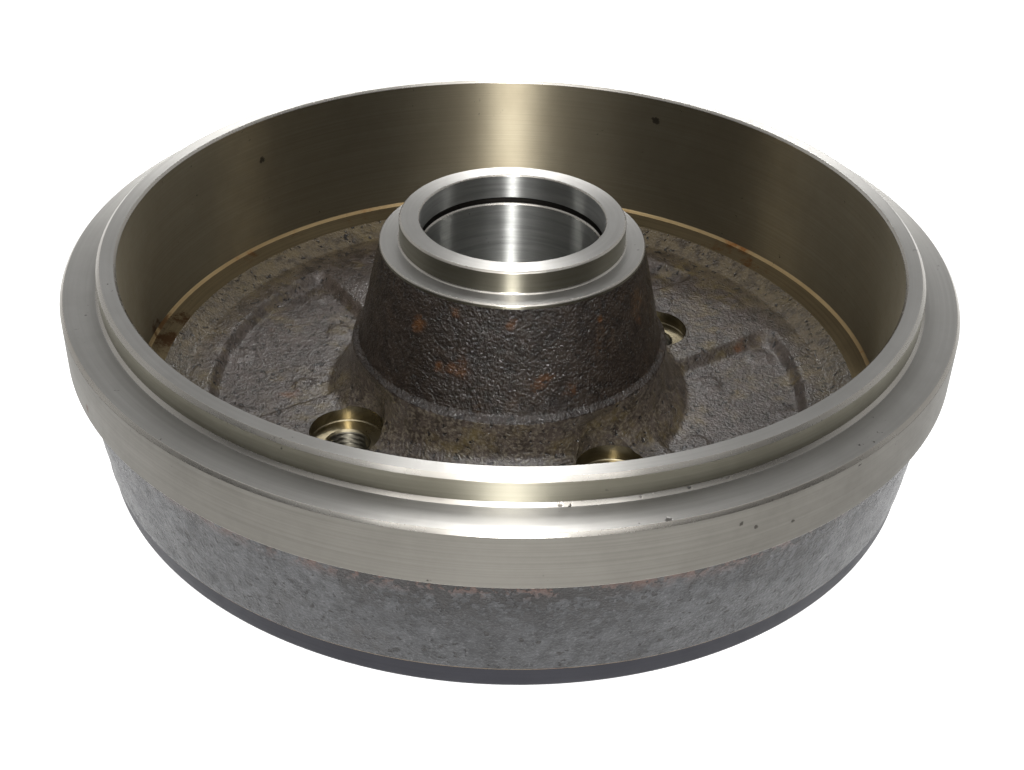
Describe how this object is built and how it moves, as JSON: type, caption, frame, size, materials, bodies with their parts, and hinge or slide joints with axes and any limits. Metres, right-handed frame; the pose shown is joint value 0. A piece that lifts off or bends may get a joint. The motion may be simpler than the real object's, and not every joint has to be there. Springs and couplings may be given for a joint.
{
  "type": "brake drum",
  "caption": "Cup-shaped brake drum with integral hub, turned friction surface, bearing and seal seats, threaded wheel bolt holes and a wheel-centring nose.",
  "frame": {"origin": "on the axis of rotation, in the plane of the end of the hub nose on which the drum stands", "axes": "+Z along the axis of rotation, from the wheel side to the open side; +X and +Y across it, with the first wheel bolt hole 33.4 degrees from +X towards +Y"},
  "size_m": [0.2286, 0.2286, 0.0691],
  "materials": {
    "cast_iron": "turned where it rubs or fits, raw cast elsewhere"
  },
  "bodies": {
    "root": {"brake_drum": "cast_iron"}
  },
  "joints": []
}
